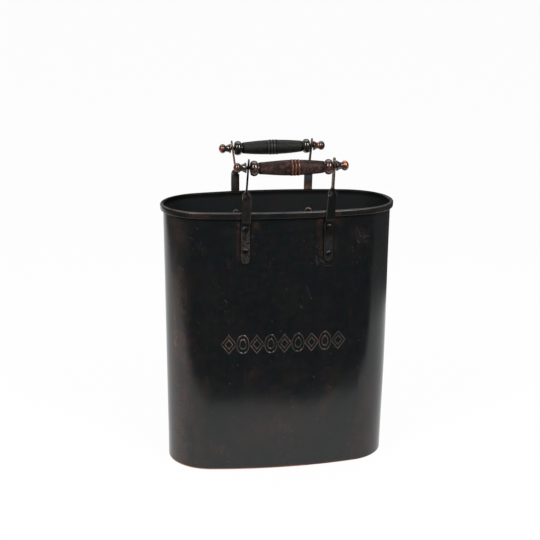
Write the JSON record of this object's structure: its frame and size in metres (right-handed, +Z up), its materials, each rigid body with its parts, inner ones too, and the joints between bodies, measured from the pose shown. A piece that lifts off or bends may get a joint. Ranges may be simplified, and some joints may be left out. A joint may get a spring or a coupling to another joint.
{
  "type": "magazine basket",
  "caption": "Oval sheet-copper magazine basket with a wired rim and a turned grip on riveted, twisted straps over each long side.",
  "frame": {"origin": "centre of the underside, on the surface that the basket stands on", "axes": "+Z up, +X along the long side to the right, -Y towards the front of the pictured side"},
  "size_m": [0.3252, 0.1655, 0.4439],
  "materials": {
    "body_sheet": "copper sheet, darkened to an almost black brown patina, satin",
    "wire": "bare drawn wire, dull",
    "pan_sheet": "darkened copper sheet, dull and dusty inside",
    "strap_metal": "darkened copper bar, rubbed lighter along its edges",
    "rivet_metal": "darkened copper, hammered head, rubbed bright on top",
    "rod_metal": "darkened round bar, dull",
    "grip_metal": "turned and polished, darkened, worn to copper on its beads",
    "finial_metal": "turned and polished copper, half rubbed back from a dark patina"
  },
  "bodies": {
    "basket": {"wall_shell": "body_sheet", "rim_wire": "wire", "base_pan": "pan_sheet", "front_left_strap": "strap_metal", "front_right_strap": "strap_metal", "rear_left_strap": "strap_metal", "rear_right_strap": "strap_metal", "front_left_upper_rivet": "rivet_metal", "front_left_lower_rivet": "rivet_metal", "front_right_upper_rivet": "rivet_metal", "front_right_lower_rivet": "rivet_metal", "rear_left_upper_rivet": "rivet_metal", "rear_left_lower_rivet": "rivet_metal", "rear_right_upper_rivet": "rivet_metal", "rear_right_lower_rivet": "rivet_metal", "front_tie_rod": "rod_metal", "rear_tie_rod": "rod_metal", "front_left_finial": "finial_metal", "front_right_finial": "finial_metal", "rear_left_finial": "finial_metal", "rear_right_finial": "finial_metal"},
    "front_grip": {"front_grip": "grip_metal"},
    "rear_grip": {"rear_grip": "grip_metal"}
  },
  "joints": [
    {"name": "front_grip_spin", "type": "hinge", "parent": "basket", "child": "front_grip", "pos_m": [0.0044, -0.072, 0.429], "axis": [1, 0, 0], "continuous": true},
    {"name": "rear_grip_spin", "type": "hinge", "parent": "basket", "child": "rear_grip", "pos_m": [0.004, 0.072, 0.432], "axis": [0.9999, 0, 0.0136], "continuous": true}
  ]
}
